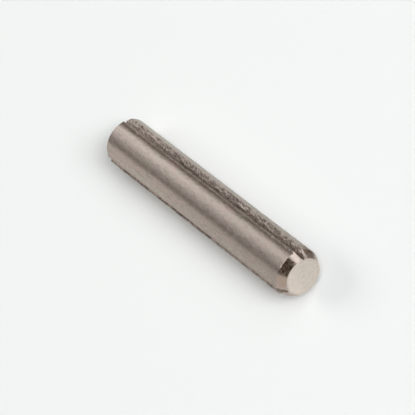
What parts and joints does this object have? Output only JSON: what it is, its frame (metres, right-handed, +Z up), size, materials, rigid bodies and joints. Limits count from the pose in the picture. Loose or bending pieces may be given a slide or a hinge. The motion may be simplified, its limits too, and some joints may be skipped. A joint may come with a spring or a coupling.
{
  "type": "drive pin",
  "caption": "Solid steel drive pin with raised lips along straight pressed grooves that grip a plain drilled hole, and a long chamfer on its leading end.",
  "frame": {"origin": "on the surface that the pin lies on, under the middle of its length and under its axis", "axes": "+X along the pin towards its chamfered leading end, +Z straight up, from the middle of the groove that faces down through the pin's axis, +Y across"},
  "size_m": [0.03, 0.005, 0.0051],
  "materials": {
    "plated_steel": "bright plated steel with a slightly warm tone, drawn lengthwise, rough inside the pressed grooves"
  },
  "bodies": {
    "root": {"drive_pin": "plated_steel"}
  },
  "joints": []
}
